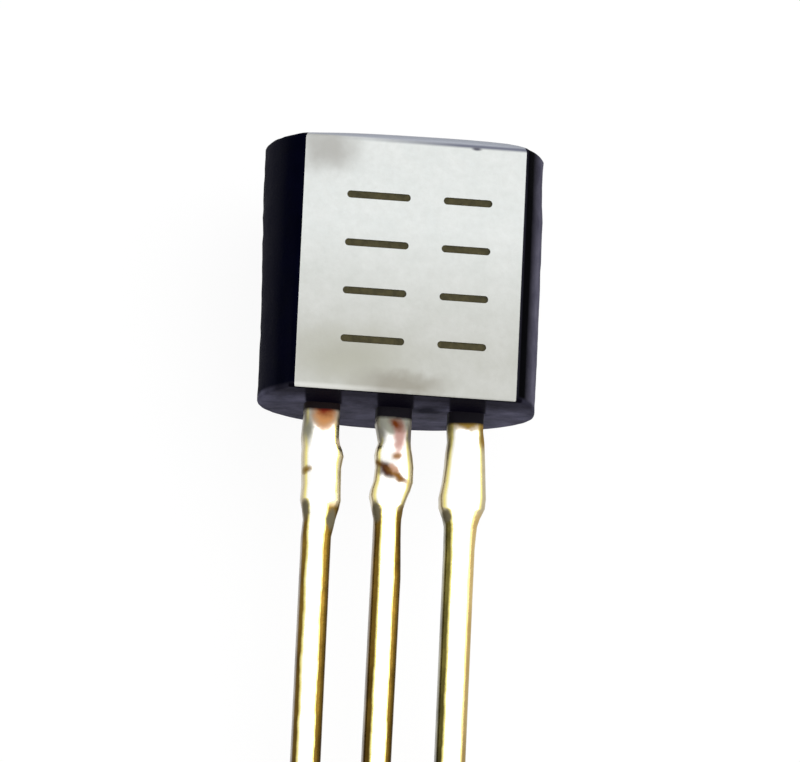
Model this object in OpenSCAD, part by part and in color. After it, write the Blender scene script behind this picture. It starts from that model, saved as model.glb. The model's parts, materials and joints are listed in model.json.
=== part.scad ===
// TO-92 transistor: a moulded D-shaped body on three stamped leads in one row,
// with the die, its attach layer and two bond wires sealed inside.
//
// It lies as it comes to rest on a table: flat side up, on the lower rim of its
// round back and on the tips of its leads. The leads run towards -Y.

/* [Body] */
// Width across the round
body_d = 4.86; // [4.4:0.02:5.3]
// Height from the seating face to the top
body_h = 4.6; // [4:0.05:5.6]
// Distance from the middle of the leads to the flat
flat_depth = 1.38; // [1.15:0.01:1.65]
// Mould draft of the top and the seating face, away from the parting plane
draft = 1.5; // [0:0.25:3]
// Radius of the top edge
top_rim_r = 0.15; // [0.05:0.01:0.25]
// Radius of the two upright edges of the flat
corner_r = 0.08; // [0.03:0.01:0.14]

/* [Leads] */
// Distance between neighbouring leads
pitch = 1.27; // [1.2:0.01:1.55]
// Width of a lead
lead_w = 0.52; // [0.4:0.01:0.64]
// Thickness of the lead frame's strip
lead_t = 0.42; // [0.34:0.01:0.52]
// Length of a lead below the seating face
lead_l = 14.3; // [12:0.1:17.2]
// Width of a lead's neck, where it leaves the body
neck_w = 0.62; // [0.52:0.01:0.75]
// Length of the neck below the seating face
neck_l = 0.68; // [0.4:0.02:1]
// Length of the wide stretch that the cut-off dam bar leaves
stub_l = 0.98; // [0.6:0.02:1.3]
// Length over which the wide stretch steps out of the neck
stub_step = 0.12; // [0.04:0.01:0.2]
// Length over which the wide stretch narrows to the lead
stub_taper = 0.28; // [0.1:0.02:0.5]
// Stub's reach to the left of each lead's middle, from left to right
stub_left = [0.33, 0.32, 0.38]; // [0.3:0.01:0.46]
// Stub's reach to the right of each lead's middle, from left to right
stub_right = [0.39, 0.41, 0.42]; // [0.3:0.01:0.46]

/* [Lead frame in the body] */
// Width of a lead's stem in the body
stem_w = 0.4; // [0.3:0.01:0.5]
// Radius of the notches that lock a lead in the body
lock_r = 0.11; // [0.05:0.01:0.14]
// Height of the notches above the seating face
lock_h = 0.42; // [0.25:0.01:0.6]
// Width of an outer lead's bonding post
post_w = 0.9; // [0.7:0.02:1.1]
// Height of a bonding post
post_h = 0.8; // [0.5:0.02:0.96]
// Gap between the posts' top edges and the die pad
post_gap = 0.3; // [0.2:0.02:0.5]
// Width of the die pad on the middle lead
pad_w = 1.6; // [1.2:0.02:1.94]
// Height of the die pad
pad_h = 1.4; // [1.2:0.02:1.7]
// Mould compound above the die pad
pad_cover = 0.5; // [0.4:0.02:0.6]
// Corner radius of the pad and the posts
frame_r = 0.12; // [0.05:0.01:0.2]

/* [Die and wires] */
// Side of the square die
die_w = 0.6; // [0.4:0.02:0.8]
// Thickness of the die
die_t = 0.2; // [0.12:0.01:0.3]
// Thickness of the attach layer under the die
attach_t = 0.025; // [0.015:0.005:0.05]
// Width of the attach layer that shows round the die
attach_rim = 0.04; // [0.01:0.01:0.1]
// Diameter of a bond wire
wire_d = 0.05; // [0.03:0.005:0.06]
// Radius of the bend where a wire turns over, above the die
loop_r = 0.22; // [0.12:0.01:0.3]
// Diameter of the flattened ball at a wire's start
ball_d = 0.12; // [0.08:0.01:0.16]
// Height of the ball
ball_h = 0.04; // [0.02:0.005:0.05]

/* [Hidden] */
$fn = 96;

// Places of the leads in their row
LEFT = 0;
CENTRE = 1;
RIGHT = 2;
function side(i) = i - CENTRE;   // -1 on the left, 1 on the right

over = 1;                        // how far a cutting shape runs past what it cuts
body_r = body_d / 2;

// Up the lead frame, from the seating face
pad_y = body_h - pad_cover - pad_h;
post_y = pad_y - post_gap - post_h;
die_y = pad_y + pad_h / 2;

// Towards the flat, from the middle of the strip
strip_z = lead_t / 2;
attach_z = strip_z + attach_t;
die_z = attach_z + die_t;
ball_z = die_z + ball_h;

// How the part lies: the rim of its back and the lead tips touch the table
rim_y = body_r * tan(draft);
rest_tilt = atan((body_r - strip_z) / (lead_l + rim_y));
rest_z = lead_l * sin(rest_tilt) + strip_z * cos(rest_tilt);
near_y = -lead_l * cos(rest_tilt) - strip_z * sin(rest_tilt);
far_y = (body_h - rim_y) * cos(rest_tilt) + body_r * sin(rest_tilt);
rest_y = -(near_y + far_y) / 2;

// Lays down what is drawn in the part's own axes. Those are X along the row of
// leads, Y up the body and Z out of the flat, from the seating face's middle.
module at_rest() {
    translate([0, rest_y, rest_z]) rotate([rest_tilt, 0, 0]) children();
}

// ---------------------------------------------------------------- body

// What rounding a corner takes away: the wedge from the rounding's centre out
// past the corner, less the round itself
module corner_waste(centre, wedge, r) {
    difference() {
        polygon(concat([centre], wedge));
        translate(centre) circle(r);
    }
}

// Half section of the round, to be turned about the body's upright axis
module round_section() {
    c = [body_r - top_rim_r, body_h - top_rim_r];
    far = [body_r + over, body_h + over];
    difference() {
        translate([0, -over]) square([body_r, body_h + over]);
        corner_waste(c, [[far.x, c.y], far, [c.x, far.y]], top_rim_r);
    }
}

// Side view, as [Z, Y]. The top and the seating face fall away by the draft on
// both sides of the parting plane, which is the leads' middle plane.
module side_view() {
    fall = tan(draft);
    back = -body_r - over;
    c = [flat_depth - top_rim_r, 0];
    top = [c.x, body_h - c.x * fall - top_rim_r / cos(draft)];
    reach = top_rim_r + over;
    difference() {
        polygon([[back, -back * fall], [0, 0], [flat_depth, flat_depth * fall],
                 [flat_depth, body_h - flat_depth * fall], [0, body_h],
                 [back, body_h + back * fall]]);
        corner_waste(top, [top + [reach, 0], top + [reach, reach],
                           top + reach * [sin(draft), cos(draft)]], top_rim_r);
    }
}

// Plan of what rounds one upright edge of the flat, as [X, Z]
module upright_edge_waste() {
    inner_r = body_r - corner_r;
    z = flat_depth - corner_r;
    c = [sqrt(inner_r * inner_r - z * z), z];
    reach = corner_r + over;
    corner_waste(c, [c + [0, reach], c + [reach, reach], c + c / inner_r * reach], corner_r);
}

// The moulding before the lead frame's place is taken out of it
module moulding() {
    difference() {
        intersection() {
            rotate([-90, 0, 0]) rotate_extrude() round_section();
            rotate([0, -90, 0]) linear_extrude(body_d + 2 * over, center = true) side_view();
        }
        for (s = [0, 1]) mirror([s, 0, 0])
            translate([0, body_h + over, 0]) rotate([90, 0, 0])
                linear_extrude(body_h + 2 * over) upright_edge_waste();
    }
}

module body() {
    color([0.09, 0.09, 0.11]) difference() {
        at_rest() moulding();
        at_rest() for (i = [LEFT, CENTRE, RIGHT]) lead_blank(i);
        at_rest() attach_block();
        at_rest() die_block();
        at_rest() for (i = [LEFT, RIGHT]) wire_loop(i);
    }
}

// ---------------------------------------------------------------- leads

// Outline of one lead from its tip to the top of its stem, about its own
// middle line
module lead_outline(i, stem_top) {
    step_y = -neck_l;
    stub_y = step_y - stub_step;
    taper_y = stub_y - stub_l;
    thin_y = taper_y - stub_taper;
    neck_top = 2 * lock_h;
    polygon([
        [lead_w / 2, -lead_l], [lead_w / 2, thin_y], [stub_right[i], taper_y],
        [stub_right[i], stub_y], [neck_w / 2, step_y], [neck_w / 2, neck_top],
        [stem_w / 2, neck_top], [stem_w / 2, stem_top],
        [-stem_w / 2, stem_top], [-stem_w / 2, neck_top],
        [-neck_w / 2, neck_top], [-neck_w / 2, step_y], [-stub_left[i], stub_y],
        [-stub_left[i], taper_y], [-lead_w / 2, thin_y], [-lead_w / 2, -lead_l]
    ]);
}

// A plate with round corners, standing on [0, y]
module plate(w, h, y) {
    translate([-w / 2 + frame_r, y]) square([w - 2 * frame_r, h]);
    translate([-w / 2, y + frame_r]) square([w, h - 2 * frame_r]);
    for (x = [-1, 1], top = [0, 1])
        translate([x * (w / 2 - frame_r), y + (top ? h - frame_r : frame_r)]) circle(frame_r);
}

// One lead as it was stamped: the outer ones end in a bonding post, and the
// middle one in the die pad
module lead_blank(i) {
    translate([side(i) * pitch, 0, 0]) linear_extrude(lead_t, center = true) difference() {
        if (i == CENTRE) {
            lead_outline(i, pad_y + pad_h / 2);
            plate(pad_w, pad_h, pad_y);
        } else {
            lead_outline(i, post_y + post_h / 2);
            plate(post_w, post_h, post_y);
        }
        for (x = [-1, 1]) translate([x * neck_w / 2, lock_h]) circle(lock_r);
    }
}

module lead_left() {
    color([0.82, 0.7, 0.36]) at_rest() lead_blank(LEFT);
}

module lead_centre() {
    color([0.82, 0.7, 0.36]) at_rest() lead_blank(CENTRE);
}

module lead_right() {
    color([0.82, 0.7, 0.36]) at_rest() lead_blank(RIGHT);
}

// ---------------------------------------------------------------- die and wires

// A square block in the middle of the die pad
module block_on_pad(w, z, t) {
    translate([-w / 2, die_y - w / 2, z]) cube([w, w, t]);
}

module attach_block() {
    block_on_pad(die_w + 2 * attach_rim, strip_z, attach_t);
}

module die_block() {
    block_on_pad(die_w, attach_z, die_t);
}

module die_attach() {
    color([0.72, 0.72, 0.7]) at_rest() attach_block();
}

module die() {
    color([0.35, 0.37, 0.42]) at_rest() die_block();
}

// A round wire swept along points in the XZ plane, each given with the slope of
// its path. The last ring is carried on along the path to the level end_z.
module swept_wire(path, end_z) {
    sides = 12;
    last = len(path) - 1;
    points = [
        for (i = [0:last], k = [0:sides - 1])
            let (a = 360 * k / sides, slope = path[i][1], r = wire_d / 2,
                 p = path[i][0] + r * [-sin(slope) * sin(a), cos(a), cos(slope) * sin(a)],
                 run_on = i == last ? (p.z - end_z) / -sin(slope) : 0)
            p + run_on * [cos(slope), 0, sin(slope)]
    ];
    walls = [
        for (i = [0:last - 1], k = [0:sides - 1])
            let (a = i * sides + k, b = i * sides + (k + 1) % sides)
            [a, a + sides, b + sides, b]
    ];
    start = [for (k = [0:sides - 1]) k];
    end = [for (k = [0:sides - 1]) (last + 1) * sides - 1 - k];
    polyhedron(points, concat([start], walls, [end]));
}

// A bond wire: straight up out of its ball on the die, over a round bend, and
// down in a line to its stitch on the post
module wire_loop(i) {
    ball = [side(i) * die_w / 4, die_y - die_w / 4];
    stitch = [side(i) * pitch, post_y + post_h / 2];
    run = stitch - ball;
    level = norm(run) - loop_r;
    drop = ball_z - strip_z;
    dive = atan2(drop, level) + asin(loop_r / norm([level, drop]));
    steps = 12;
    bend = [
        for (k = [0:steps])
            let (slope = 90 - (90 + dive) * k / steps)
            [[loop_r * (1 - sin(slope)), 0, ball_z + loop_r * cos(slope)], slope]
    ];
    foot = [[norm(run) - wire_d, 0, strip_z + wire_d * tan(dive)], -dive];
    translate(ball) rotate([0, 0, atan2(run.y, run.x)]) {
        translate([0, 0, die_z]) cylinder(h = ball_h, d = ball_d);
        swept_wire(concat([[[0, 0, ball_z - ball_h / 2], 90]], bend, [foot]), strip_z);
    }
}

module wire_left() {
    color([0.95, 0.78, 0.35]) at_rest() wire_loop(LEFT);
}

module wire_right() {
    color([0.95, 0.78, 0.35]) at_rest() wire_loop(RIGHT);
}

body();
lead_left();
lead_centre();
lead_right();
die_attach();
die();
wire_left();
wire_right();
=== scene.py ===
# %% [markdown]
# # A TO-92 transistor
# The part is a black epoxy moulding with a flat on one side and three tinned
# leads in a row. Its CAD solids come in first as a fixed frame: they give the
# size and the place of every piece, and the looks are built on them.

# %% Load the frame
import json
from math import cos, radians, sin

import bmesh
import bpy
from mathutils import Matrix, Vector, noise

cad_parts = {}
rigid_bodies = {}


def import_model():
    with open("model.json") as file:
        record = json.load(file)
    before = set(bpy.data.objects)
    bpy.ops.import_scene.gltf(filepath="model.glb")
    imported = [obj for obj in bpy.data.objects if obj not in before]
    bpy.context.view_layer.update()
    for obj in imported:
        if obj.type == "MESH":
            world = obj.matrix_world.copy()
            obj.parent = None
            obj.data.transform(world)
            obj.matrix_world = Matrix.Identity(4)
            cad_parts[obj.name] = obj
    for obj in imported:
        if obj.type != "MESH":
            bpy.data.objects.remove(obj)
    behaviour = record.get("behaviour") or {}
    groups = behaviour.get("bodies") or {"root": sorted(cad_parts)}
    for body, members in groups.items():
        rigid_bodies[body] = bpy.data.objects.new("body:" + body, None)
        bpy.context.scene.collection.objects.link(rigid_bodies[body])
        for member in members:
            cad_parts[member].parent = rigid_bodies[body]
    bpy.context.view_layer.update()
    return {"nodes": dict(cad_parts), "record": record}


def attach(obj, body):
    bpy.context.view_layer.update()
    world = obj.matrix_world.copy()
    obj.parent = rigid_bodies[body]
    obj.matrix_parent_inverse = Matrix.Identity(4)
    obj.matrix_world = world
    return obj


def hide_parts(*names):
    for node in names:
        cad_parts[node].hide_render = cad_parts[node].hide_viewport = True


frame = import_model()
print("nodes:", sorted(frame["nodes"]))

# %% [markdown]
# ## The part's own axes
# The part lies on its back with its leads down to the table, so it is tilted
# by some degrees. Everything is easier to shape upright: X along the row of
# leads, Y up the moulding and Z out of the flat, in millimetres, from the
# middle of the seating face. The record's mounts give these axes. One matrix
# lays an upright shape down at its place, and its inverse stands it up again.

# %% Find the axes in the record
mounts = {mount["name"]: mount for mount in frame["record"]["mounts"]}
seat = Vector(mounts["seating_face"]["pos_m"])
up = -Vector(mounts["seating_face"]["axis"]).normalized()
out = Vector(mounts["flat"]["axis"]).normalized()
out = (out - up * out.dot(up)).normalized()
along = up.cross(out)
MM = 0.001
TURN = Matrix((along, up, out)).transposed()
LAID = Matrix.Translation(seat) @ TURN.to_4x4() @ Matrix.Scale(MM, 4)
UPRIGHT = LAID.inverted()
print("the moulding's axis points along", [round(c, 3) for c in up])

# %% Measure the moulding
body_points = [UPRIGHT @ v.co for v in frame["nodes"]["body"].data.vertices]
BODY_R = max(point.x for point in body_points)
BODY_H = max(point.y for point in body_points)
FLAT_Z = (UPRIGHT @ Vector(mounts["flat"]["pos_m"])).z
CORNER_X = (BODY_R ** 2 - FLAT_Z ** 2) ** 0.5      # the flat's upright edges, from the middle
PITCH = 1.27                                       # from one lead's middle to the next
print("radius, height, flat:", round(BODY_R, 3), round(BODY_H, 3), round(FLAT_Z, 3))

# %% [markdown]
# ## The camera
# A long lens far away keeps the edges of so small a part nearly parallel. The
# camera looks straight at the flat, then goes a little to the left, a little
# towards the lead tips, and rolls, so the seating face and more of the left
# side come into view.

# %% Place the camera
TO_LEFT = radians(7.77)
TO_TIPS = radians(10.27)
ROLL = radians(2.62)
AIM = Vector((-0.108, 0.254, 1.411))
DISTANCE = 150
LENS = 389.16
SENSOR = 36

back = TURN @ Vector((-sin(TO_LEFT) * cos(TO_TIPS), -sin(TO_TIPS), cos(TO_LEFT) * cos(TO_TIPS)))
top = (up - back * up.dot(back)).normalized()
top = Matrix.Rotation(ROLL, 3, back) @ top
camera = bpy.data.objects.new("camera", bpy.data.cameras.new("camera"))
camera.matrix_world = (Matrix.Translation(LAID @ AIM + back * DISTANCE * MM)
                       @ Matrix((top.cross(back), top, back)).transposed().to_4x4())
camera.data.lens = LENS
camera.data.sensor_width = SENSOR
camera.data.clip_start, camera.data.clip_end = 0.001, 10
bpy.context.scene.collection.objects.link(camera)
bpy.context.scene.camera = camera
bpy.context.scene.view_settings.view_transform = "Standard"
print("camera at", [round(c, 4) for c in camera.location])

# %% [markdown]
# ## Helpers for nodes
# A material is a small tree of nodes. These helpers place a node, set its
# sockets by name or number, and link a socket where the value is another
# node's output, so that a finish reads like a recipe.

# %% Put nodes into a tree


def put(tree, kind, sockets=(), **settings):
    """One shader node. A socket is set by name or number, to a value or to another socket."""
    node = tree.nodes.new("ShaderNode" + kind)
    for name, value in settings.items():
        setattr(node, name, value)
    for name, value in dict(sockets).items():
        if isinstance(value, bpy.types.NodeSocket):
            tree.links.new(value, node.inputs[name])
        else:
            node.inputs[name].default_value = value
    return node


def axes(tree, place):
    """The three numbers of a place: X, Y and Z."""
    return tuple(put(tree, "SeparateXYZ", {0: place}).outputs)


def calc(tree, operation, *values):
    """A Math node's result."""
    return put(tree, "Math", dict(enumerate(values)), operation=operation).outputs[0]


def ramp(tree, value, start=0.0, end=1.0, low=0.0, high=1.0):
    """A number that goes from low to high while the value goes from start to end."""
    return put(tree, "MapRange", {0: value, 1: start, 2: end, 3: low, 4: high}).outputs[0]


# %% [markdown]
# Colours are easiest to judge as a screen writes them, from 0 to 255, but a
# shader wants them in light's own measure. `screen` turns one into the other.
# A mottled finish wanders between two such colours, which `patchy` does.

# %% Mix colours


def screen(red, green, blue):
    """A colour as a screen writes it, 0 to 255, in light's own measure."""
    def light(c):
        c /= 255
        return c / 12.92 if c <= 0.04045 else ((c + 0.055) / 1.055) ** 2.4
    return light(red), light(green), light(blue)


def tint(tree, mask, below, above):
    """The colour that goes from one to the other with the mask."""
    def colour(c):
        return c if isinstance(c, bpy.types.NodeSocket) else (*c, 1)
    return put(tree, "Mix", {0: mask, 6: colour(below), 7: colour(above)},
               data_type="RGBA").outputs[2]


def patchy(tree, mottled, dark, light):
    """A colour that wanders with the mottling between two screen colours."""
    return tint(tree, mottled, screen(*dark), screen(*light))


print("a screen's middle grey is", round(screen(128, 128, 128)[0], 3), "of white light")

# %% [markdown]
# ## Effects that several finishes share
# Mould grain, stains and mottling are each one node group, built once and
# placed in each material with its own values. They all read a place on the
# part in upright millimetres, which a Mapping node makes from Object
# coordinates by undoing the part's tilt.

# %% Start a shared group


def place_on_part(tree):
    """The place on the part, in its own axes and in millimetres."""
    coordinates = put(tree, "TexCoord").outputs["Object"]
    return put(tree, "Mapping", {"Vector": coordinates, "Location": seat,
                                 "Rotation": TURN.to_euler(), "Scale": (MM, MM, MM)},
               vector_type="TEXTURE").outputs[0]


def new_group(name, inputs, output):
    """An empty group with its named inputs and one output. Returns the tree and its two ends."""
    tree = bpy.data.node_groups.new(name, "ShaderNodeTree")
    for label, kind, value in inputs:
        socket = tree.interface.new_socket(label, in_out="INPUT", socket_type="NodeSocket" + kind)
        socket.default_value = value
    tree.interface.new_socket(output, in_out="OUTPUT", socket_type="NodeSocketFloat")
    start, end = tree.nodes.new("NodeGroupInput"), tree.nodes.new("NodeGroupOutput")
    return tree, start.outputs, end.inputs


# %% Build the grain and the mottling


def grain_group():
    """Height of the fine matte grain that the mould's spark-eroded wall leaves."""
    tree, given, result = new_group("mould_grain", [
        ("Place", "Vector", (0, 0, 0)), ("Grains per mm", "Float", 9.0)], "Height")
    fine = put(tree, "TexNoise", {"Vector": given["Place"], "Scale": given["Grains per mm"],
                                  "Detail": 4.0, "Roughness": 0.65}).outputs[0]
    tree.links.new(fine, result["Height"])
    return tree


def mottle_group():
    """Mask of soft patches, such as handling marks: 0 to 1."""
    tree, given, result = new_group("mottle", [
        ("Place", "Vector", (0, 0, 0)), ("Patches per mm", "Float", 1.0),
        ("Low", "Float", 0.35), ("High", "Float", 0.65)], "Mask")
    cloud = put(tree, "TexNoise", {"Vector": given["Place"], "Scale": given["Patches per mm"],
                                   "Detail": 5.0, "Roughness": 0.6}).outputs[0]
    tree.links.new(ramp(tree, cloud, given["Low"], given["High"]), result["Mask"])
    return tree


GRAIN, MOTTLE = grain_group(), mottle_group()
print("groups:", GRAIN.name, "and", MOTTLE.name)

# %% [markdown]
# A stain is an oval whose edge a noise shifts about. Its distance from the
# centre, counted in its own reach, runs from 0 in the middle to 1 at the edge,
# and a smooth step turns that into a mask. Lean shears it, for slanted marks.

# %% Build the stain


def stain_group():
    """Mask of one stain: 1 in its middle, 0 outside, with a ragged edge."""
    tree, given, result = new_group("stain", [
        ("Place", "Vector", (0, 0, 0)), ("Centre", "Vector", (0, 0, 0)),
        ("Reach", "Vector", (1, 1, 1)), ("Ragged", "Float", 0.2), ("Rags per mm", "Float", 3.0),
        ("Soft", "Float", 0.5), ("Lean", "Float", 0.0)], "Mask")

    def vector(operation, sockets):
        return put(tree, "VectorMath", sockets, operation=operation)

    wander = put(tree, "TexNoise", {"Vector": given["Place"], "Scale": given["Rags per mm"],
                                    "Detail": 3.0}).outputs[1]
    evened = vector("SUBTRACT", {0: wander, 1: (0.5, 0.5, 0.5)}).outputs[0]
    shift = vector("SCALE", {0: evened, "Scale": given["Ragged"]}).outputs[0]
    moved = vector("ADD", {0: given["Place"], 1: shift}).outputs[0]
    x, y, z = axes(tree, vector("SUBTRACT", {0: moved, 1: given["Centre"]}).outputs[0])
    sheared = calc(tree, "MULTIPLY_ADD", x, given["Lean"], y)
    leant = put(tree, "CombineXYZ", {0: x, 1: sheared, 2: z}).outputs[0]
    reached = vector("DIVIDE", {0: leant, 1: given["Reach"]}).outputs[0]
    distance = vector("LENGTH", {0: reached}).outputs[1]
    inner = calc(tree, "SUBTRACT", 1.0, given["Soft"])
    mask = put(tree, "MapRange", {0: distance, 1: inner, 2: 1.0, 3: 1.0, 4: 0.0},
               interpolation_type="SMOOTHSTEP").outputs[0]
    tree.links.new(mask, result["Mask"])
    return tree


STAIN = stain_group()
print("group:", STAIN.name, "with", len(STAIN.nodes), "nodes")

# %% [markdown]
# ## Starting a finish
# Every finish starts as a new material with its Principled shader, which stays
# in the material itself. The shared groups only hand it colours, masks and
# heights: a colour and a roughness go in directly, a height as a small relief.

# %% Start a finish and fill it


def effect(tree, group, **values):
    """A shared group placed in a tree. Returns its output."""
    node = tree.nodes.new("ShaderNodeGroup")
    node.node_tree = group
    for name, value in values.items():
        socket = node.inputs[name.replace("_", " ")]
        if isinstance(value, bpy.types.NodeSocket):
            tree.links.new(value, socket)
        else:
            socket.default_value = value
    return node.outputs[0]


def finish(name, **constants):
    """A new material. Returns it, its tree, its Principled shader and the place on the part."""
    material = bpy.data.materials.new(name)
    material.use_nodes = True
    tree = material.node_tree
    shader = next(n for n in tree.nodes if n.type == "BSDF_PRINCIPLED")
    for socket, value in constants.items():
        shader.inputs[socket.replace("_", " ")].default_value = value
    return material, tree, shader, place_on_part(tree)


def coat(tree, shader, colour, mottled, smoothest, roughest):
    """Sends the colour to the shader, and a roughness that follows the mottling."""
    tree.links.new(colour, shader.inputs["Base Color"])
    tree.links.new(ramp(tree, mottled, low=smoothest, high=roughest), shader.inputs["Roughness"])


def bump(tree, shader, height, depth_mm, strength=1.0):
    """Sends a height between 0 and 1 to the shader's normal, as a relief of that depth."""
    node = put(tree, "Bump", {"Height": height, "Distance": depth_mm * MM, "Strength": strength})
    tree.links.new(node.outputs[0], shader.inputs["Normal"])


# %% [markdown]
# ## The mould compound
# The body is black epoxy filled with fine glass. Its skin is matte, and its tone wanders between a
# darker and a greyer blue-black. The tones could be painted on an unwrapped body; masks made from
# the place on the part need no unwrapping and stay sharp. Towards the front the wall carries
# painted light: painted shade on the left with a pale painted grazing sheen at its edge, a black
# band of painted shade beside the flat, and a grey painted sheen on the right.

# %% Tone the wall
BACK_SKIN = (30, 29, 38), (50, 48, 60)
# Painted light: shade on the left, a pale grazing sheen at its edge, a shade band beside the flat
# and a sheen on the right.
LEFT_SHADE = (1, 2, 14), (5, 6, 25)
LEFT_GRAZING_SHEEN = 30, 30, 40
SHADE_BESIDE_FLAT = 6, 6, 8
RIGHT_SHEEN = (70, 68, 84), (102, 100, 116)
TO_FRONT = -1.7, -0.4


def wall_tone(tree, place, mottled):
    """The wall's colour, with bands of painted shade and sheen. Each band has the X where it starts
    and where it is full.
    """
    x, _, z = axes(tree, place)
    front = ramp(tree, z, *TO_FRONT)
    tone = patchy(tree, mottled, *BACK_SKIN)
    for start, full, band in ((-1.2, -1.9, patchy(tree, mottled, *LEFT_SHADE)),
                              (-2.2, -2.45, screen(*LEFT_GRAZING_SHEEN)),
                              (1.95, 2.0, screen(*SHADE_BESIDE_FLAT)),
                              (2.1, 2.3, patchy(tree, mottled, *RIGHT_SHEEN))):
        tone = tint(tree, calc(tree, "MULTIPLY", front, ramp(tree, x, start, full)), tone, band)
    return tone


print("the front's bands fade in between Z =", *TO_FRONT, "mm")

# %% [markdown]
# The seating face is grey with dust and painted sheen, and painted shade makes it darker towards
# the flat and in one patch between the centre and the right lead. A black stripe in front of each
# lead is painted reflection and shadow: the lead's dark mirror image and the shade at its root. The
# stripes slant a little. A line of painted shade runs under the flat. Each pair of numbers is where
# a mask starts and where it is full.

# %% Tone the seating face
# Dust with painted sheen, then painted shade towards the flat and in one patch.
DUST_AND_SHEEN = (54, 53, 67), (99, 98, 118)
SHADE_UNDER_FLAT, TOWARDS_FLAT = (16, 14, 24), (0.25, 0.95)
SHADE_PATCH_TONE = 28, 27, 40
PATCH, PATCH_REACH = (0.58, 0.02, 0.1), (0.4, 1, 0.6)
# The stripes of painted reflection and shadow in front of the leads.
SHADE_SLANT = 0.145
SHADE_SHIFT = 0.03
SHADE_EDGE = 0.34, 0.3
SHADE_START = 0.1, 0.2
FLAT_LINE = 1.28, 1.32


def seat_tone(tree, place, mottled):
    """The seating face's colour, dust and painted sheen with painted shade, without the stripes."""
    tone = patchy(tree, mottled, *DUST_AND_SHEEN)
    near_flat = ramp(tree, axes(tree, place)[2], *TOWARDS_FLAT, high=0.75)
    tone = tint(tree, near_flat, tone, screen(*SHADE_UNDER_FLAT))
    patch = effect(tree, STAIN, Place=place, Centre=PATCH, Reach=PATCH_REACH, Ragged=0.3, Soft=0.8)
    return tint(tree, patch, tone, screen(*SHADE_PATCH_TONE))


def lead_shade_mask(tree, place):
    """1 on the painted shade stripes in front of the leads and on the painted shade line under the
    flat.
    """
    x, _, z = axes(tree, place)
    mask = ramp(tree, z, *FLAT_LINE)
    slant = calc(tree, "MULTIPLY_ADD", z, SHADE_SLANT, x)
    ahead = ramp(tree, z, *SHADE_START)
    for lead_x in (-PITCH, 0, PITCH):
        off = calc(tree, "ABSOLUTE", calc(tree, "SUBTRACT", slant, lead_x + SHADE_SHIFT))
        lead_stripe = calc(tree, "MULTIPLY", ramp(tree, off, *SHADE_EDGE), ahead)
        mask = calc(tree, "MAXIMUM", mask, lead_stripe)
    return mask


print("tracks:", round(2 * SHADE_EDGE[1], 2), "mm wide, at X =", (-PITCH, 0, PITCH))

# %% Make the compound's material
TURNS_UNDER = 0.14, 0.08      # heights between which the wall gives way to the seating face
# Black of the painted shade stripes and line.
LEAD_SHADE_BLACK = 10, 8, 18


def compound_finish():
    """Black epoxy: wall and seating face in their tones and painted light, with a fine grain as
    relief.
    """
    material, tree, shader, place = finish("matte_compound", Specular_IOR_Level=0.006)
    mottled = effect(tree, MOTTLE, Place=place, Patches_per_mm=1.6, Low=0.35, High=0.7)
    grain = effect(tree, GRAIN, Place=place, Grains_per_mm=9.0)
    under = ramp(tree, axes(tree, place)[1], *TURNS_UNDER)
    colour = tint(tree, under, wall_tone(tree, place, mottled), seat_tone(tree, place, mottled))
    lead_shade = calc(tree, "MULTIPLY", lead_shade_mask(tree, place), under)
    colour = tint(tree, lead_shade, colour, screen(*LEAD_SHADE_BLACK))
    coat(tree, shader, colour, mottled, 0.6, 0.75)
    bump(tree, shader, grain, 0.012)
    return material


COMPOUND = compound_finish()
print(COMPOUND.name, "has", len(COMPOUND.node_tree.nodes), "nodes")

# %% [markdown]
# ## The silvery face
# The flat's silver-grey satin look is a painted reflection: a lamp's mirror image on black epoxy,
# painted into the colour as a film so that it stays in any light. It is brighter in its upper part
# and dimmer in the top left corner and along the lower edge. Soft darker patches of the painted
# reflection darken the base colour, and fine mottling keeps any area from being one flat grey.

# %% Tone the painted reflection
# Painted reflection: the satin grey tones of the flat, brighter above and dimmer below.
BRIGHT_REFLECTION = (217, 221, 219), (229, 232, 230)
DIM_REFLECTION = (190, 191, 184), (206, 207, 202)
REFLECTION_DIMS = 3.0, 0.9               # heights between which the painted reflection goes from bright to dim
# Darker patches of the painted reflection.
REFLECTION_DARK_PATCHES = [                # centre, reach, softness and tone
    ((-1.0, 0.6), (1.7, 0.8), 0.9, (180, 180, 168)),
    ((-0.1, 0.2), (1.1, 0.34), 0.8, (160, 157, 146)),
    ((-1.55, 4.3), (0.85, 0.7), 0.9, (178, 178, 174)),
]
FLECKS, FLECK_SHARE = (178, 177, 170), 0.12


def reflection_tone(tree, place, mottled):
    """The painted reflection's colour away from the flat's edges."""
    dimmed = ramp(tree, axes(tree, place)[1], *REFLECTION_DIMS)
    tone = tint(tree, dimmed, patchy(tree, mottled, *BRIGHT_REFLECTION), patchy(tree, mottled, *DIM_REFLECTION))
    for centre, reach, soft, stain_and_shade_tone in REFLECTION_DARK_PATCHES:
        mask = effect(tree, STAIN, Place=place, Centre=(*centre, FLAT_Z), Reach=(*reach, 1),
                      Ragged=0.4, Soft=soft)
        tone = tint(tree, mask, tone, screen(*stain_and_shade_tone))
    flecks = effect(tree, MOTTLE, Place=place, Patches_per_mm=8.0, Low=0.35, High=0.65)
    return tint(tree, calc(tree, "MULTIPLY", flecks, FLECK_SHARE), tone, screen(*FLECKS))


print("stains on the film:", len(REFLECTION_DARK_PATCHES))

# %% [markdown]
# At its edges the face changes: a painted highlight runs along the left edge and the left half of
# the lower one, a line of painted shade lies where the flat turns over the top rim, more so to the
# right, and a paler painted sheen lies on the rim's crest. A small chip sits in that rim.

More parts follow.
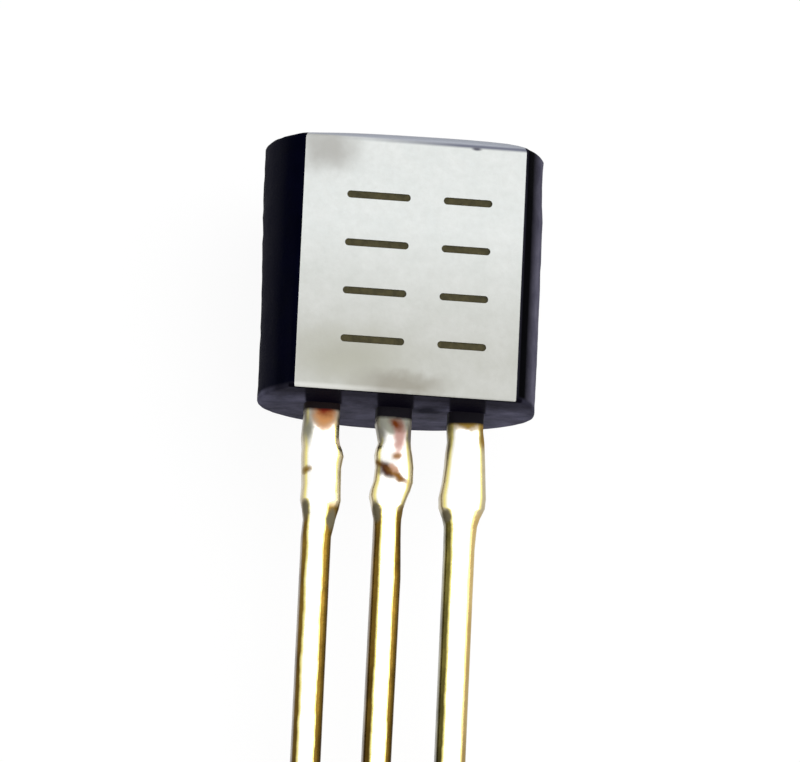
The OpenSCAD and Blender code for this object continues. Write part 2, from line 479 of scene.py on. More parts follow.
# %% Tone the flat's edges
# Painted highlight, painted shade line and painted sheen at the flat's edges.
EDGE_HIGHLIGHT = 236, 236, 232
LEFT_LINE = -1.93, -1.98
LOW_LINE, LOW_LINE_FADES = (0.15, 0.1), (0.2, -1.4)
RIM_SHADE_LINE, RIM_SHADE_SPREAD = (112, 115, 130), (-1.5, 0.8)
CREST_SHEEN = 166, 170, 180
RIM_START = 4.46
CHIP, CHIP_REACH, CHIP_TONE = (1.06, 4.46), (0.12, 0.05), (92, 92, 104)


def edge_tone(tree, place, tone):
    """The face's colour, with painted highlight, shade and sheen at the flat's edges."""
    x, y, _ = axes(tree, place)
    left = ramp(tree, x, *LEFT_LINE)
    low = calc(tree, "MULTIPLY", ramp(tree, y, *LOW_LINE), ramp(tree, x, *LOW_LINE_FADES, high=0.5))
    tone = tint(tree, calc(tree, "MAXIMUM", left, low), tone, screen(*EDGE_HIGHLIGHT))
    rise = ramp(tree, y, RIM_START - 0.01, RIM_START + 0.03)
    rim_shaded = calc(tree, "MULTIPLY", rise, ramp(tree, x, *RIM_SHADE_SPREAD))
    tone = tint(tree, rim_shaded, tone, screen(*RIM_SHADE_LINE))
    tone = tint(tree, ramp(tree, y, RIM_START + 0.05, RIM_START + 0.08), tone, screen(*CREST_SHEEN))
    chip = effect(tree, STAIN, Place=place, Centre=(*CHIP, FLAT_Z), Reach=(*CHIP_REACH, 1),
                  Ragged=0.05, Soft=0.8)
    return tint(tree, chip, tone, screen(*CHIP_TONE))


print("the rim starts", round(BODY_H - RIM_START, 2), "mm below the top")

# %% Make the face's material


def face_finish():
    """The painted reflection, silver-grey and a little metallic, with hardly any relief."""
    material, tree, shader, place = finish("silvery_painted_reflection", Metallic=0.15, Specular_IOR_Level=0.15)
    mottled = effect(tree, MOTTLE, Place=place, Patches_per_mm=2.2, Low=0.3, High=0.7)
    grain = effect(tree, GRAIN, Place=place, Grains_per_mm=14.0)
    colour = edge_tone(tree, place, reflection_tone(tree, place, mottled))
    coat(tree, shader, colour, mottled, 0.44, 0.56)
    bump(tree, shader, grain, 0.002)
    return material


FACE = face_finish()
print(FACE.name, "has", len(FACE.node_tree.nodes), "nodes")

# %% [markdown]
# ## The marked bars
# A laser would mark such a face by burning into it. This part carries plain bars in the place of a
# marking. They are shallow grooves with a dull olive-brown floor.

# %% Make the burnt grooves' material


def burnt_finish():
    """The dull floor that the laser leaves."""
    material, tree, shader, place = finish("burnt_groove", Specular_IOR_Level=0.2)
    mottled = effect(tree, MOTTLE, Place=place, Patches_per_mm=9.0, Low=0.3, High=0.7)
    coat(tree, shader, patchy(tree, mottled, (54, 50, 28), (86, 80, 54)), mottled, 0.6, 0.8)
    return material


BURNT = burnt_finish()
print(BURNT.name, "has", len(BURNT.node_tree.nodes), "nodes")

# %% [markdown]
# ## The body's shape
# The moulding is a round bar with a flat, drafted top and bottom so that it
# leaves the mould. It could be a profile with its corners written out, but
# cutting is closer to the real form: a disc is extruded to a bar, planes cut
# the flat and the sloping ends, and bevels round the rims and the upright
# edges.

# %% Cut with planes


def only_verts(geom):
    """The points in an operator's result."""
    return [v for v in geom if isinstance(v, bmesh.types.BMVert)]


def cut_off(shape, point, normal):
    """Cuts off what lies in front of a plane and closes the cut."""
    made = bmesh.ops.bisect_plane(shape, geom=shape.verts[:] + shape.edges[:] + shape.faces[:],
                                  dist=1e-5, plane_co=point, plane_no=normal,
                                  clear_outer=True)["geom_cut"]
    bmesh.ops.edgeloop_fill(shape, edges=[e for e in made if isinstance(e, bmesh.types.BMEdge)])


# %% Cut the moulding from a bar
ROUND_STEPS = 104          # a step then ends at the flat's upright edge
DRAFT = radians(1.5)
SPARE = 1                  # what the bar is longer at each end before the cuts

body = bmesh.new()
bmesh.ops.create_circle(body, cap_ends=True, segments=ROUND_STEPS, radius=BODY_R)
bmesh.ops.rotate(body, verts=body.verts, matrix=Matrix.Rotation(radians(90), 3, "X"))
bmesh.ops.translate(body, verts=body.verts, vec=(0, -SPARE, 0))
lifted = bmesh.ops.extrude_face_region(body, geom=body.faces[:])["geom"]
bmesh.ops.translate(body, verts=only_verts(lifted), vec=(0, BODY_H + 2 * SPARE, 0))
bmesh.ops.recalc_face_normals(body, faces=body.faces)
cut_off(body, (0, 0, FLAT_Z), (0, 0, 1))
for side in (1, -1):
    cut_off(body, (0, BODY_H, 0), (0, cos(DRAFT), side * sin(DRAFT)))
    cut_off(body, (0, 0, 0), (0, -cos(DRAFT), side * sin(DRAFT)))
bmesh.ops.recalc_face_normals(body, faces=body.faces)
print("cut:", len(body.faces), "faces")

# %% [markdown]
# The rims are bevelled first, and the upright edges after them, so the small
# rounding runs on over the rim as it does in the mould. For that a bevelled
# edge is followed straight on through each crossing.

# %% Find the edges


def rim_edges(shape, side):
    """The edges where the top (side 1) or the seating face (side -1) meets the walls."""
    def level(face):
        return face.normal.y * side > 0.9
    return [e for e in shape.edges
            if len(e.link_faces) == 2 and level(e.link_faces[0]) != level(e.link_faces[1])]


def run_of(edge):
    """An edge and those that carry straight on from it, through crossings of four edges."""
    run = [edge]
    for vert in edge.verts:
        last, at = edge, vert
        while len(at.link_edges) == 4:
            onward = [e for e in at.link_edges if not set(e.link_faces) & set(last.link_faces)]
            if len(onward) != 1 or onward[0] in run:
                break
            last, at = onward[0], onward[0].other_vert(at)
            run.append(last)
    return run


# %% Round the rims and the upright edges
TOP_RIM = 0.1
SEAT_RIM = 0.03
UPRIGHT_RIM = 0.055
NEAR = 1e-3


def round_over(shape, edges, radius, steps):
    """Rounds edges over with a bevel."""
    bmesh.ops.bevel(shape, geom=edges, offset=radius, segments=steps, profile=0.5,
                    affect="EDGES", offset_type="OFFSET", clamp_overlap=True, material=-1)


round_over(body, rim_edges(body, 1), TOP_RIM, steps=6)
round_over(body, rim_edges(body, -1), SEAT_RIM, steps=3)
uprights = [e for e in body.edges
            if all(abs(abs(v.co.x) - CORNER_X) < NEAR and abs(v.co.z - FLAT_Z) < NEAR
                   for v in e.verts)
            and abs(e.verts[0].co.y - e.verts[1].co.y) > BODY_H / 2]
round_over(body, [e for upright in uprights for e in run_of(upright)], UPRIGHT_RIM, steps=4)
print("moulding:", len(uprights), "upright edges,", len(body.faces), "faces")

# %% [markdown]
# ## Small unevenness
# A real moulding is never quite flat: the top swells a little between its
# corners, one corner is worn, and the round wall is a little fuller here and
# there. The points have to move a few hundredths of a millimetre for that,
# and there are too few of them, so planes score lines over the part first.

# %% Score the moulding
LINE_STEP = 0.2
LINES_EACH_WAY = 9
WALL_STEP = 0.15


def score(shape, faces, point, normal):
    """Draws a line over some faces where a plane meets them, and cuts nothing off."""
    parts = set(faces)
    for face in faces:
        parts.update(face.edges)
        parts.update(face.verts)
    bmesh.ops.bisect_plane(shape, geom=list(parts), dist=0.008, plane_co=point, plane_no=normal)


for k in range(-LINES_EACH_WAY, LINES_EACH_WAY + 1):
    above = [f for f in body.faces
             if abs(f.normal.x) < 0.05 and f.normal.y > -0.5 and f.normal.z > -0.1]
    score(body, above, (k * LINE_STEP, 0, 0), (1, 0, 0))
for k in range(1, int(BODY_H / WALL_STEP)):
    score(body, [f for f in body.faces if f.normal.z < 0.95], (0, k * WALL_STEP, 0), (0, 1, 0))
bmesh.ops.remove_doubles(body, verts=body.verts, dist=0.004)
body.normal_update()
print("scored:", len(body.faces), "faces")

# %% Let the top swell and wear a corner
CROWN = 0.058
LEAN = 0.012               # what the top rises for each millimetre to the right
WORN_CORNER = 0.045


def share(value, start, end, low=0):
    """How far a value has come from start to end: 0 before, or low, and 1 past the end."""
    return min(1, max(low, (value - start) / (end - start)))


for v in body.verts:
    near_top = share(v.co.y, BODY_H - 0.6, BODY_H - 0.2)
    crown = CROWN * max(0, 1 - abs(v.co.x / CORNER_X) ** 3) + LEAN * v.co.x
    worn = WORN_CORNER * share(v.co.x, 1.6, 2.0) ** 2
    v.co.y += near_top * (crown - worn)
print("highest point:", round(max(v.co.y for v in body.verts), 3), "mm")

# %% Let the round wall swell
SWELL = 0.012
SWELLS_PER_MM = 4.5
BULGE = 0.032


def fullness(point):
    """What the wall stands proud of a round: on the left at the top, on the right lower down."""
    if point.x > 0:
        return BULGE * share(point.y, 3.9, 3.3) * point.x / BODY_R
    return BULGE * share(point.y, 2.6, 3.8, low=-1) * -point.x / BODY_R


for v in body.verts:
    outward = Vector((v.co.x, 0, v.co.z))
    if v.co.z < FLAT_Z - 0.08 and outward.length > 0.9 * BODY_R:
        swell = SWELL * noise.fractal(v.co * SWELLS_PER_MM, 1.0, 2.0, 3) + fullness(v.co)
        v.co += swell * outward.normalized()
body.normal_update()
print("widest point:", round(max(v.co.x for v in body.verts), 3), "mm")

# %% [markdown]
# The painted reflection covers the flat and runs over its small rounded rims at the top and the
# bottom. Those faces take the second material. The flat itself is shaded flat, everything else
# smooth.

# %% Lay the painted reflection on the flat
flat_faces = {f for f in body.faces
              if f.normal.z > 0.999 and f.calc_center_median().z > FLAT_Z - 0.01}
for f in body.faces:
    f.smooth = f not in flat_faces
    middle = f.calc_center_median()
    rim = TOP_RIM if middle.y > BODY_H / 2 else 0.7 * SEAT_RIM
    over_rim = (middle.z > FLAT_Z - rim and abs(middle.x) < CORNER_X - 2 * UPRIGHT_RIM
                and f.normal.y > -0.9)
    if f in flat_faces or over_rim:
        f.material_index = 1
print("the film covers", sum(f.material_index for f in body.faces), "of", len(body.faces), "faces")

# %% [markdown]
# ## Burning the bars
# Each bar is a disc stretched to a slot with round ends: half of its points
# move along by the bar's length. The slots become one cutter, and a Boolean
# takes it out of the body to leave true grooves. They could be painted, but a
# cut edge catches the light as a real one does.

# %% Shape the cutter
GROOVE = 0.13
GROOVE_DEPTH = 0.02
GROOVE_STEPS = 16
ROWS = [(-0.62, 1.12), (0.95, 0.86)]     # middle of a row and length of its bars
BARS = [0.95, 1.8, 2.65, 3.5]            # heights of the bars


def slot_shape(cutter, x, y, length):
    """A slot with round ends, along X, that starts above the flat and ends below it."""
    run = length - GROOVE
    made = bmesh.ops.create_circle(cutter, cap_ends=True, segments=GROOVE_STEPS,
                                   radius=GROOVE / 2)["verts"]
    half_step = Matrix.Rotation(radians(180 / GROOVE_STEPS), 3, "Z")
    bmesh.ops.rotate(cutter, verts=made, matrix=half_step)
    bmesh.ops.translate(cutter, verts=[v for v in made if v.co.x > 0], vec=(run, 0, 0))
    bmesh.ops.translate(cutter, verts=made, vec=(x - run / 2, y, FLAT_Z - GROOVE_DEPTH))
    raised = bmesh.ops.extrude_face_region(cutter, geom=[made[0].link_faces[0]])["geom"]
    bmesh.ops.translate(cutter, verts=only_verts(raised), vec=(0, 0, 4 * GROOVE_DEPTH))


cutter = bmesh.new()
for x, length in ROWS:
    for y in BARS:
        slot_shape(cutter, x, y, length)
bmesh.ops.recalc_face_normals(cutter, faces=cutter.faces)
for f in cutter.faces:
    f.material_index = 2
print("cutter:", len(ROWS) * len(BARS), "slots")

# %% Cut the bars into the flat


def mesh_object(name, shape, materials):
    """A finished mesh, laid down at its place as metres, on an object at the origin."""
    mesh = bpy.data.meshes.new(name)
    shape.transform(LAID)
    shape.to_mesh(mesh)
    shape.free()
    for material in materials:
        mesh.materials.append(material)
    made = bpy.data.objects.new(name, mesh)
    bpy.context.scene.collection.objects.link(made)
    return made


finishes = [COMPOUND, FACE, BURNT]
slots = mesh_object("slots", cutter, finishes)
moulding = mesh_object("moulded_body", body, finishes)
burn = moulding.modifiers.new("burn", "BOOLEAN")
burn.object, burn.operation, burn.solver = slots, "DIFFERENCE", "EXACT"
depsgraph = bpy.context.evaluated_depsgraph_get()
grooved = bpy.data.meshes.new_from_object(moulding.evaluated_get(depsgraph))
moulding.modifiers.clear()
moulding.data = grooved
bpy.data.objects.remove(slots)
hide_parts("body")
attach(moulding, "root")
print("body:", len(grooved.polygons), "faces, materials", [m.name for m in grooved.materials])

# %% [markdown]
# ## Tinned leads
# The leads are stamped strip dipped in tin. Their white middle is the tin painted as bright as its
# highlight, and the gold and brown towards the sides are painted reflection and shade of the
# rounded edges. The colour could follow a map of each lead; here the lead's own attribute says how
# far across a point lies, from -1 at the left side to 1 at the right, and it stays right where the
# lead widens or bends.

# %% Tone the lead's sides
# White tin painted as bright as its highlight, a golden painted highlight rim, and sides in painted
# reflection and shade, darker at the neck in the body's painted shadow.
TIN_HIGHLIGHT = (255, 254, 250), (246, 244, 236)
HIGHLIGHT_RIM = 240, 226, 138
STUB_SIDE_SHADE = (206, 194, 164), (176, 164, 134)
NECK_SIDE_SHADOW = (150, 142, 120), (122, 116, 100)
TO_STUB = -1.85, -1.7          # heights between which the run turns to the wider stub
TO_NECK = -0.72, -0.45
DOWN_RUN = -3.2, -6.2
RIM_WIDTH = 0.12               # this and the next as shares of the lead's half width
FINE_RAGS, BROAD_RAGS = 0.08, 0.1
STUB_EDGES = {"left": 0.82, "right": 0.74}


def sides_tone(tree, place, mottled, look, tone):
    """The colour with painted reflection and shade at both sides: a golden painted highlight rim
    first, then the darker brown edge.
    """
    across = put(tree, "Attribute", attribute_name="across").outputs["Fac"]
    height = axes(tree, place)[1]
    stub = ramp(tree, height, *TO_STUB)
    stub_tone = tint(tree, ramp(tree, height, *TO_NECK), patchy(tree, mottled, *STUB_SIDE_SHADE),
                     patchy(tree, mottled, *NECK_SIDE_SHADOW))
    down = ramp(tree, height, *DOWN_RUN, high=0.6)
    fine = effect(tree, MOTTLE, Place=place, Patches_per_mm=2.6, Low=0.25, High=0.75)
    broad = calc(tree, "MULTIPLY", mottled, BROAD_RAGS)
    ragged = calc(tree, "MULTIPLY_ADD", fine, FINE_RAGS, broad)
    for side, sign in (("left", -1), ("right", 1)):
        start, pale, deep = look[side]
        edge = calc(tree, "ADD", ragged, start - (FINE_RAGS + BROAD_RAGS) / 2)
        edge = calc(tree, "MAXIMUM", edge, calc(tree, "MULTIPLY", stub, STUB_EDGES[side]))
        past = calc(tree, "SUBTRACT", calc(tree, "MULTIPLY", across, sign), edge)
        tone = tint(tree, ramp(tree, past, -RIM_WIDTH, 0), tone, screen(*HIGHLIGHT_RIM))
        run_tone = tint(tree, down, patchy(tree, mottled, pale, deep),
                        screen(*(0.7 * c for c in deep)))
        edge_shade = tint(tree, stub, run_tone, stub_tone)
        tone = tint(tree, ramp(tree, past, 0, RIM_WIDTH), tone, edge_shade)
    return tone


# %% [markdown]
# Near the body the tin stops short and copper shows. Each lead has its own list of such stains,
# with painted shade among them: grey where the body shades the neck, dark brown in the crease. They
# also take the metal's shine away. At the root a dark band of painted shade covers the lead, where
# the body shades it.

# %% Make the tin's material
THICK = 0.42                   # the strip's thickness
# Where the painted shade at the root begins, and how much its edge wavers.
ROOT_SHADE_EDGE, ROOT_SHADE_WAVE = (-0.02, 0.04), 0.04
STAINED_ROUGHER, STAINED_METAL = 0.4, 0.15


def tin_finish(name, middle, look):
    """Tin over a lead. look gives the tones of its sides, where the painted shade at its root ends,
    and its stain marks, some of them painted shade.
    """
    material, tree, shader, place = finish(name, Specular_IOR_Level=0.2)
    mottled = effect(tree, MOTTLE, Place=place, Patches_per_mm=1.4, Low=0.3, High=0.7)
    grain = effect(tree, GRAIN, Place=place, Grains_per_mm=6.0)
    colour = sides_tone(tree, place, mottled, look, patchy(tree, mottled, *TIN_HIGHLIGHT))
    dull = 0.0
    for centre, reach, lean, soft, stain_and_shade_tone in look["stains_and_shade"]:
        spot = Vector((*centre, THICK / 2)) + Vector((middle, 0, 0))
        mask = effect(tree, STAIN, Place=place, Centre=spot, Reach=(*reach, 0.3), Ragged=0.12,
                      Rags_per_mm=7.0, Soft=soft, Lean=lean)
        colour = tint(tree, mask, colour, screen(*stain_and_shade_tone))
        dull = calc(tree, "MAXIMUM", dull, mask)
    root, root_shade_tone = look["root"]
    wavy = calc(tree, "ADD", axes(tree, place)[1], calc(tree, "MULTIPLY", mottled, ROOT_SHADE_WAVE))
    root_shaded = ramp(tree, wavy, *(root + edge for edge in ROOT_SHADE_EDGE))
    dull = calc(tree, "MAXIMUM", dull, root_shaded)
    tree.links.new(tint(tree, root_shaded, colour, screen(*root_shade_tone)), shader.inputs["Base Color"])
    clean = ramp(tree, mottled, low=0.2, high=0.34)
    rough = calc(tree, "MULTIPLY_ADD", dull, STAINED_ROUGHER, clean)
    tree.links.new(rough, shader.inputs["Roughness"])
    metal = calc(tree, "MULTIPLY_ADD", dull, STAINED_METAL - 1, 1.0)
    tree.links.new(metal, shader.inputs["Metallic"])
    bump(tree, shader, grain, 0.01, 0.5)
    return material


# %% [markdown]
# ## A lead's shape
# A lead is one strip from its tip to the bonding post or the die pad inside
# the body. Its section starts as a square with well-rounded corners. That
# section is extruded from station to station and stretched there to the
# strip's width on each side: narrow in the long run, wide and lopsided where
# the dam bar was cut away, and a post or pad inside.

# %% Describe the stations outside the body
# Each station is a height and the width to the left and to the right.
STUBS = {
    "lead_left": [(-2.35, 0.25, 0.255), (-2.04, 0.235, 0.32), (-1.86, 0.26, 0.365),
                  (-1.7, 0.3, 0.395), (-1.44, 0.285, 0.38), (-1.12, 0.305, 0.38),
                  (-0.91, 0.315, 0.41), (-0.8, 0.31, 0.375), (-0.7, 0.32, 0.33),
                  (-0.59, 0.33, 0.315)],
    "lead_centre": [(-6.2, 0.28, 0.22), (-3.0, 0.265, 0.24), (-2.3, 0.26, 0.21),
                    (-1.95, 0.265, 0.21), (-1.77, 0.31, 0.23), (-1.56, 0.355, 0.3),
                    (-1.45, 0.34, 0.34), (-1.3, 0.295, 0.38), (-1.03, 0.28, 0.38),
                    (-0.82, 0.295, 0.35), (-0.71, 0.275, 0.325), (-0.6, 0.24, 0.31)],
    "lead_right": [(-2.4, 0.275, 0.25), (-2.0, 0.285, 0.275), (-1.86, 0.32, 0.315),
                   (-1.68, 0.39, 0.395), (-1.5, 0.4, 0.41), (-1.26, 0.36, 0.395),
                   (-0.94, 0.33, 0.375), (-0.73, 0.32, 0.36), (-0.5, 0.295, 0.34)],
}
print("stations outside:", {name: len(stub) for name, stub in STUBS.items()})

# %% Describe the whole lead
TIP = -14.3
TIP_BREAK = 0.03               # the tip's broken edge
RUN = 0.26                     # half the width of the long run
NECK, NECK_FROM, NECK_TO = 0.31, -0.3, 0.84
NOTCH_R, NOTCH_Y = 0.11, 0.42  # the round notch that anchors the lead in the compound
STEM = 0.2
STEP = 0.001                   # the height of a sharp step
POST = (1.6, 2.4, 0.45)        # bottom, top and half the width of a bonding post
PAD = (2.7, 4.1, 0.8)          # and of the die pad
PLATE_CORNER = 0.12


def stations(stub, plate):
    """Places along a lead, from the tip up: height, and the width to the left and to the right."""
    low, high, half = plate
    notch = [(NOTCH_Y + NOTCH_R * sin(radians(a)), NECK - NOTCH_R * cos(radians(a)))
             for a in range(-90, 91, 30)]
    corner = [(PLATE_CORNER * (1 - cos(radians(a))), half - PLATE_CORNER * (1 - sin(radians(a))))
              for a in range(0, 91, 30)]
    even = [(TIP, RUN - TIP_BREAK), (TIP + TIP_BREAK, RUN)]
    inside = [(NECK_FROM, NECK), *notch, (NECK_TO, NECK), (NECK_TO + STEP, STEM),
              (low - STEP, STEM)]
    inside += [(low + rise, width) for rise, width in corner]
    inside += [(high - rise, width) for rise, width in reversed(corner)]
    return [(y, w, w) for y, w in even] + stub + [(y, w, w) for y, w in inside]


def between(marks, step, low, high):
    """The same stations with more between them, about every step, from low to high."""
    full = []
    for (y0, l0, r0), (y1, l1, r1) in zip(marks, marks[1:]):
        full.append((y0, l0, r0))
        count = int((y1 - y0) / step) if y0 >= low and y1 <= high else 0
        for k in range(1, count):
            t = k / count
            full.append((y0 + (y1 - y0) * t, l0 + (l1 - l0) * t, r0 + (r1 - r0) * t))
    return full + [marks[-1]]


print("stations of the left lead:", len(stations(STUBS["lead_left"], POST)))

# %% Draw the section
SECTION_CORNER = 0.5           # of a section that reaches from -1 to 1
CORNER_STEPS = 4
SIDE_CUTS = 3


def stretch(shape, ring, left, right):
    """Widens the points of a ring by one factor to the left and another to the right."""
    bmesh.ops.scale(shape, verts=[v for v in ring if v.co.x < 0], vec=(left, 1, 1))
    bmesh.ops.scale(shape, verts=[v for v in ring if v.co.x > 0], vec=(right, 1, 1))


def section(y, left, right):
    """The lowest section: a square with round corners, stretched to the width on each side."""
    shape = bmesh.new()
    across = shape.verts.layers.float.new("across")
    bmesh.ops.create_grid(shape, x_segments=1, y_segments=1, size=1)
    bmesh.ops.bevel(shape, geom=shape.verts[:], offset=SECTION_CORNER, segments=CORNER_STEPS,
                    profile=0.5, affect="VERTICES", material=-1)
    straight = [e for e in shape.edges if e.calc_length() > SECTION_CORNER]
    bmesh.ops.subdivide_edges(shape, edges=straight, cuts=SIDE_CUTS)
    bmesh.ops.rotate(shape, verts=shape.verts, matrix=Matrix.Rotation(radians(90), 3, "X"))
    bmesh.ops.scale(shape, verts=shape.verts, vec=(1, 1, THICK / 2))
    bmesh.ops.translate(shape, verts=shape.verts, vec=(0, y, 0))
    for v in shape.verts:
        v[across] = v.co.x
    stretch(shape, shape.verts, left, right)
    return shape


# %% Extrude the section from station to station


def lead_shape(marks):
    """One lead as a closed strip through its stations."""
    y, left, right = marks[0]
    shape = section(y, left, right)
    face = next(iter(shape.faces))
    for y1, left1, right1 in marks[1:]:
        grown = bmesh.ops.extrude_face_region(shape, geom=[face])["geom"]
        ring = only_verts(grown)
        if len(shape.faces) > len(ring) + 2:        # the face it grew from would stay inside
            bmesh.ops.delete(shape, geom=[face], context="FACES_ONLY")
        face = next(f for f in grown if isinstance(f, bmesh.types.BMFace))
        bmesh.ops.translate(shape, verts=ring, vec=(0, y1 - y, 0))
        stretch(shape, ring, left1 / left, right1 / right)
        y, left, right = y1, left1, right1
    shape.normal_update()
    return shape


# %% [markdown]
# The tin sets in low lumps, most of them where the dam bar was cut. A noise
# moves the points in and out by a few hundredths of a millimetre, less along
# the run, and not at all inside the body.

# %% Let the tin set in lumps
LUMPS = {"lead_left": 0.03, "lead_centre": 0.045, "lead_right": 0.015}
LUMPS_PER_MM = 3.2
RUN_SHARE = 0.12               # how high the lumps on the run are against those on the stub
SIDEWAYS = 0.25                # and those on the sides against those on the front


def lumpy(shape, name):
    """Moves a lead's points outside the body in and out."""
    moves = {}
    for v in shape.verts:
        if v.co.y < 0:
            near = share(v.co.y, -2.6, -2.0, low=RUN_SHARE) * share(v.co.y, 0, -0.2)
            spot = (v.co + Vector((0, 0, len(name)))) * LUMPS_PER_MM
            swell = LUMPS[name] * near * noise.noise(spot)
            moves[v] = Vector((SIDEWAYS * v.normal.x, 0, v.normal.z)) * swell
    for v, move in moves.items():
        v.co += move
    bmesh.ops.recalc_face_normals(shape, faces=shape.faces)
    for f in shape.faces:
        f.smooth = len(f.verts) == 4
    print(name, "moves", len(moves), "points")


# %% [markdown]
# Each lead's looks are a short list. A side has the place across where its painted edge reflection
# starts, and its paler and deeper tone. The root has the height where the painted shade starts and
# its tone. A stain has its centre, reach, lean, softness and tone: copper red at the root, paler
# and brown marks, and painted shade, grey near the body, dark brown in the crease and dark in the
# right lead's root corners.

# %% Choose the looks of the three leads
BROWN, DEEP = (132, 104, 40), (78, 56, 18)
GREY = (112, 104, 80)
# Among these marks the greys near the body, the dark browns in the crease and the right lead's dark
# root corners are painted shade.
LOOKS = {
    "lead_left": {
        "left": (0.68, BROWN, DEEP), "right": (0.4, BROWN, DEEP), "root": (-0.12, (22, 10, 12)),
        "stains_and_shade": [((0.02, -0.12), (0.34, 0.42), 0, 0.4, (206, 204, 192)),
                   ((-0.24, -0.5), (0.13, 0.34), 0, 0.9, (168, 166, 146)),
                   ((0.03, -0.19), (0.3, 0.4), 0, 0.7, (255, 184, 116)),
                   ((0.03, -0.1), (0.28, 0.22), 0, 0.9, (160, 42, 12)),
                   ((-0.25, -1.2), (0.17, 0.09), -0.3, 0.9, (150, 118, 50)),
                   ((0.32, -0.66), (0.1, 0.12), 0, 0.9, (232, 204, 170)),
                   ((-0.25, -1.9), (0.12, 0.24), 0, 0.6, GREY),
                   ((0.24, -2.06), (0.12, 0.24), 0, 0.6, GREY)]},
    "lead_centre": {
        "left": (0.56, BROWN, DEEP), "right": (0.38, BROWN, DEEP), "root": (-0.18, (14, 10, 20)),
        "stains_and_shade": [((0.0, -0.2), (0.36, 0.34), 0, 0.35, (192, 192, 176)),
                   ((-0.24, -0.46), (0.14, 0.3), 0, 0.9, (156, 154, 144)),
                   ((0.27, -0.44), (0.12, 0.32), 0, 0.9, (128, 122, 116)),
                   ((0.09, -0.54), (0.15, 0.46), 0, 0.8, (236, 190, 178)),
                   ((0.03, -0.3), (0.19, 0.19), 0.4, 0.9, (140, 66, 14)),
                   ((0.07, -0.86), (0.14, 0.12), 0, 0.9, (184, 138, 96)),
                   ((-0.24, -1.0), (0.2, 0.1), 0.6, 0.9, (150, 112, 40)),
                   ((-0.1, -1.11), (0.26, 0.22), 0.4, 0.8, (74, 32, 4)),
                   ((0.03, -1.09), (0.14, 0.12), 0.4, 0.9, (222, 178, 150)),
                   ((0.1, -1.22), (0.3, 0.12), 0.6, 0.9, (150, 102, 40)),
                   ((-0.26, -1.86), (0.12, 0.26), 0, 0.6, GREY),
                   ((0.2, -1.84), (0.1, 0.28), 0, 0.9, (110, 88, 40))]},
    "lead_right": {
        "left": (0.6, (132, 122, 60), (60, 54, 26)),
        "right": (0.54, (214, 190, 132), (180, 152, 94)), "root": (-0.19, (14, 10, 20)),
        "stains_and_shade": [((-0.34, -0.24), (0.17, 0.5), 0, 0.7, (190, 174, 100)),
                   ((0.34, -0.28), (0.17, 0.52), 0, 0.7, (160, 126, 50)),
                   ((0.0, -0.14), (0.42, 0.22), 0, 0.6, (190, 152, 66)),
                   # Painted shade in the root's corners, where the seating face shows beside the
                   # lead.
                   ((-0.36, -0.2), (0.14, 0.24), 0, 0.7, (58, 50, 44)),
                   ((0.37, -0.2), (0.1, 0.22), 0, 0.7, (64, 52, 40)),
                   ((-0.28, -1.86), (0.12, 0.16), 0, 0.6, GREY)]},
}
print("stains:", {name: len(look["stains_and_shade"]) for name, look in LOOKS.items()})

# %% Make the three leads
STATION_STEP = 0.08

for name, middle, plate in (("lead_left", -PITCH, POST), ("lead_centre", 0, PAD),
                            ("lead_right", PITCH, POST)):
    shape = lead_shape(between(stations(STUBS[name], plate), STATION_STEP, TIP, NOTCH_Y))
    lumpy(shape, name)
    bmesh.ops.translate(shape, verts=shape.verts, vec=(middle, 0, 0))
    lead = mesh_object("tinned_" + name, shape, [tin_finish("tin_" + name, middle, LOOKS[name])])
    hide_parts(name)
    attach(lead, "root")
    print(lead.name, len(lead.data.polygons), "faces")

# %% [markdown]
# ## Inside the body
# The die, its attach layer and the bond wires are right as the CAD made them.
# They keep their meshes and get finishes: ground silicon with a faint pattern
# of fields, grey silver epoxy, and drawn gold.

# %% Make the inner finishes


def silicon_finish():
    """Ground silicon: a brick pattern small enough to read as the die's fields."""
    material, tree, shader, place = finish("ground_silicon", Metallic=0.4)
    fields = put(tree, "TexBrick", {"Vector": place, "Scale": 6.0, "Mortar Size": 0.03,
                                    "Color1": (*screen(96, 104, 122), 1),
                                    "Color2": (*screen(118, 112, 136), 1),
                                    "Mortar": (*screen(176, 176, 170), 1)}).outputs["Color"]
    mottled = effect(tree, MOTTLE, Place=place, Patches_per_mm=12.0)
    coat(tree, shader, fields, mottled, 0.15, 0.3)
    return material


def speckled_finish(name, dark, light, per_mm, smoothest, metallic):
    """A finish of fine speckles between two tones, with a slight relief."""
    material, tree, shader, place = finish(name, Metallic=metallic)
    mottled = effect(tree, MOTTLE, Place=place, Patches_per_mm=per_mm)
    coat(tree, shader, patchy(tree, mottled, dark, light), mottled, smoothest, smoothest + 0.15)
    bump(tree, shader, effect(tree, GRAIN, Place=place, Grains_per_mm=per_mm * 4), 0.004)
    return material


# %% Finish the inner pieces
silver = speckled_finish("silver_filled_epoxy", (150, 150, 146), (196, 196, 192), 20.0, 0.4, 0.7)
gold = speckled_finish("drawn_gold", (226, 172, 84), (244, 200, 112), 12.0, 0.18, 1.0)
for node, material in (("die", silicon_finish()), ("die_attach", silver),
                       ("wire_left", gold), ("wire_right", gold)):
    for slot in frame["nodes"][node].material_slots:
        slot.material = material
    print(node, "gets", material.name)

# %% [markdown]
# ## The table and the light
# The table is a wide pale sheet. Where the camera, a reflection or something
# clear looks at it, it is white and keeps a soft shadow; the part itself is
# lit only by the lamps, the pale sky and what the sheet throws back. Seen from
# below the sheet lets the view through.

# %% Lay the table
TABLE = 0.6


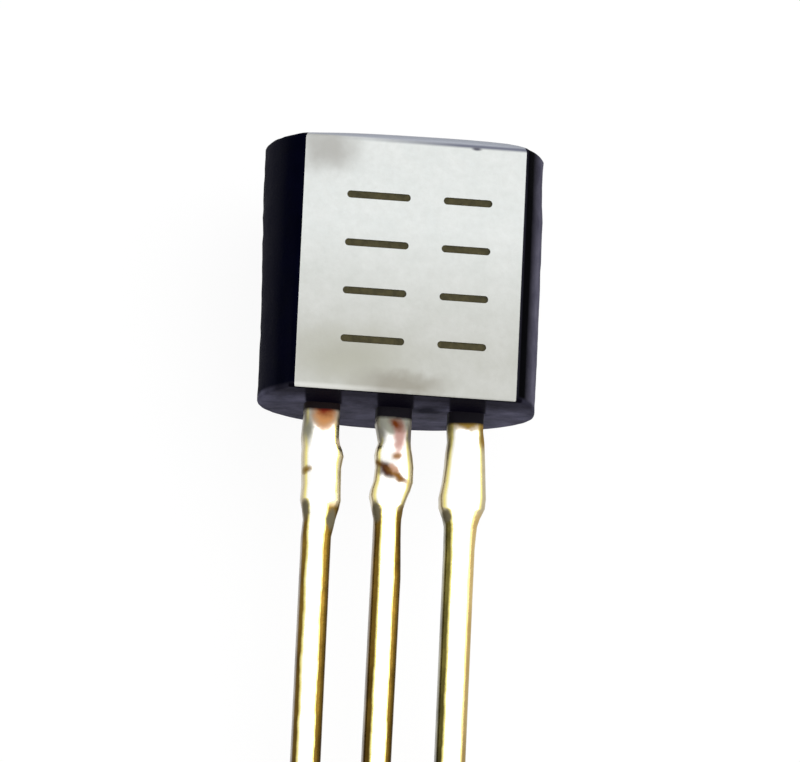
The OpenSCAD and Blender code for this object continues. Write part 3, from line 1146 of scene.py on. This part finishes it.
def looked_at(tree):
    """1 for the rays of the camera, of reflections and of clear things, 0 for light on the part."""
    paths = put(tree, "LightPath").outputs
    return calc(tree, "MAXIMUM", paths["Is Camera Ray"],
                calc(tree, "MAXIMUM", paths["Is Glossy Ray"], paths["Is Transmission Ray"]))


def table_finish():
    """White where it is looked at, with the shadow on it; a plain pale sheet for the light."""
    material = bpy.data.materials.new("table")
    material.use_nodes = True
    tree = material.node_tree
    tree.nodes.clear()
    sheet = put(tree, "BsdfDiffuse", {"Color": (0.8, 0.8, 0.8, 1)}).outputs[0]
    shaded = put(tree, "BsdfDiffuse", {"Color": (0.1, 0.1, 0.1, 1)}).outputs[0]
    white = put(tree, "Emission", {"Color": (1, 1, 1, 1), "Strength": 0.93}).outputs[0]
    seen = put(tree, "AddShader", {0: shaded, 1: white}).outputs[0]
    over = put(tree, "MixShader", {0: looked_at(tree), 1: sheet, 2: seen}).outputs[0]
    clear = put(tree, "BsdfTransparent").outputs[0]
    below = put(tree, "NewGeometry").outputs["Backfacing"]
    whole = put(tree, "MixShader", {0: below, 1: over, 2: clear}).outputs[0]
    put(tree, "OutputMaterial", {"Surface": whole})
    return material


sheet = bmesh.new()
bmesh.ops.create_grid(sheet, x_segments=1, y_segments=1, size=TABLE / 2)
mesh = bpy.data.meshes.new("table")
sheet.to_mesh(mesh)
sheet.free()
mesh.materials.append(table_finish())
table = bpy.data.objects.new("table", mesh)
bpy.context.scene.collection.objects.link(table)
print("table:", TABLE, "m wide")

# %% [markdown]
# The sky lights the part evenly and looks white where it is seen. A large soft
# lamp above the flat is the key, and a second one from the right and the tips
# fills in. Their power is low, so a colour renders about as it is written.

# %% Light the part
SKY = 0.45


def sky():
    """An even sky that is white where it is looked at and dimmer as a light."""
    world = bpy.data.worlds.new("sky")
    bpy.context.scene.world = world
    world.use_nodes = True
    tree = world.node_tree
    tree.nodes.clear()
    strength = ramp(tree, looked_at(tree), low=SKY, high=1.0)
    background = put(tree, "Background", {"Color": (1, 1, 1, 1), "Strength": strength}).outputs[0]
    put(tree, "OutputWorld", {"Surface": background})


def softbox(name, direction, distance, size, power):
    """A square lamp that looks at the part from a direction in the part's own axes."""
    lamp = bpy.data.lights.new(name, "AREA")
    lamp.shape, lamp.size, lamp.energy = "SQUARE", size, power
    holder = bpy.data.objects.new(name, lamp)
    towards = (TURN @ Vector(direction)).normalized()
    holder.location = seat + towards * distance
    holder.rotation_euler = (-towards).to_track_quat("-Z", "Y").to_euler()
    holder.visible_camera = False
    bpy.context.scene.collection.objects.link(holder)
    print(name, "lamp:", size, "m wide,", power, "W")


sky()
softbox("key", (0.35, 0.4, 1), distance=0.4, size=0.34, power=0.8)
softbox("fill", (0.7, -0.7, 0.6), distance=0.45, size=0.25, power=0.45)
